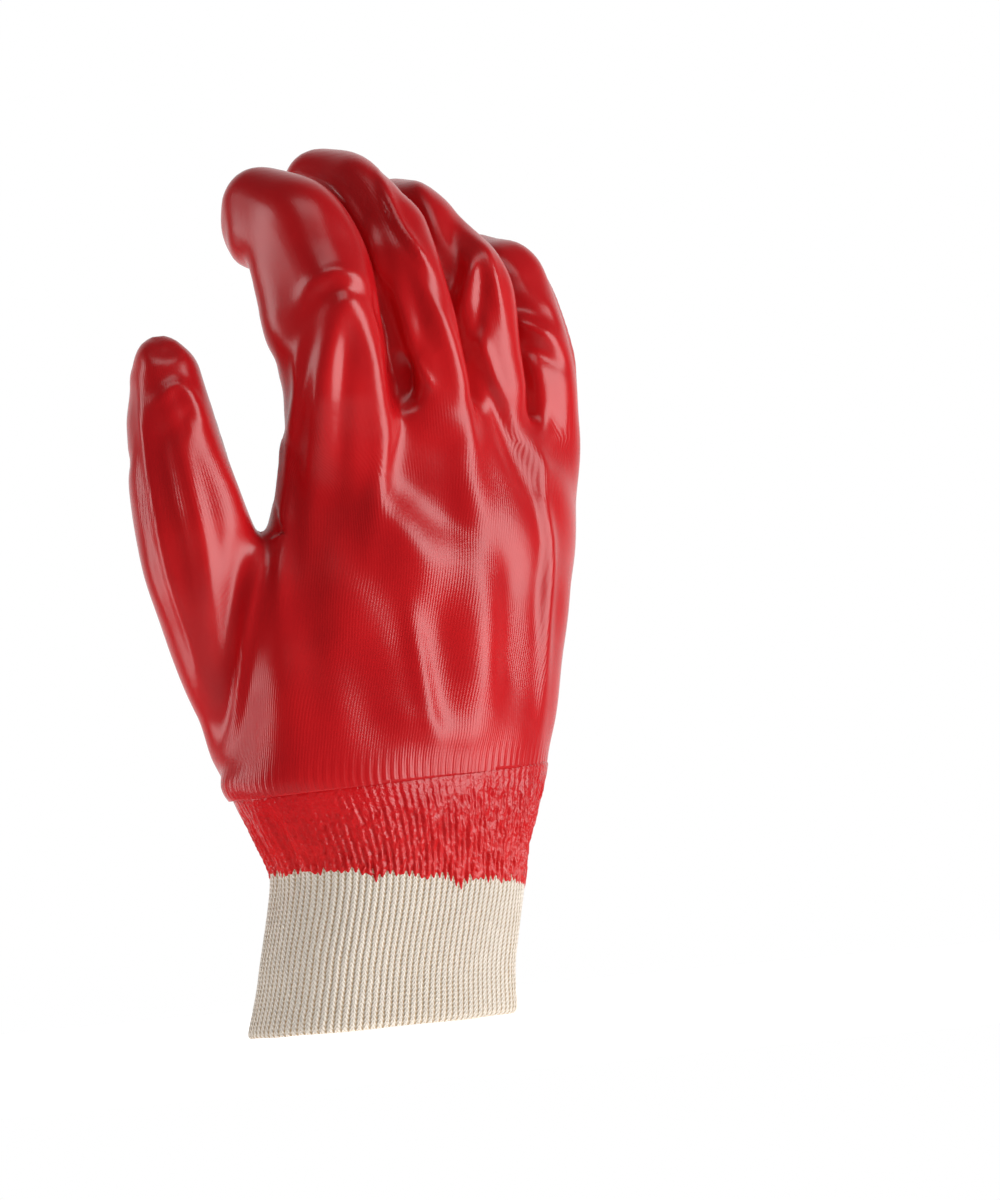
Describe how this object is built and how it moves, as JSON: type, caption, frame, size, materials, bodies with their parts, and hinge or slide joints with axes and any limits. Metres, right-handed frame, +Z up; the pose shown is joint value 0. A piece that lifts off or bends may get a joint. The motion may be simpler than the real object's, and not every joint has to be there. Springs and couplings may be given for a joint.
{
  "type": "pvc coated work glove",
  "caption": "Glossy red PVC dipped work glove for the right hand, fingers curled and thumb out, with a dipped rib band and a bare cream knit wrist. Hollow for a hand.",
  "frame": {"origin": "the middle of the wrist opening, in the plane of the hem", "axes": "+Z up through the hand toward the fingertips, -Y the back of the hand, +X the little-finger side"},
  "size_m": [0.1429, 0.0781, 0.2519],
  "materials": {
    "cotton_rib_knit": "matt rib knit of undyed cotton",
    "dipped_pvc": "glossy dipped coat over a knitted liner"
  },
  "bodies": {
    "root": {"knit_wrist_cuff": "cotton_rib_knit", "dipped_rib_band": "dipped_pvc", "hand_shell": "dipped_pvc", "thumb": "dipped_pvc", "index_finger": "dipped_pvc", "middle_finger": "dipped_pvc", "ring_finger": "dipped_pvc", "little_finger": "dipped_pvc"}
  },
  "joints": []
}
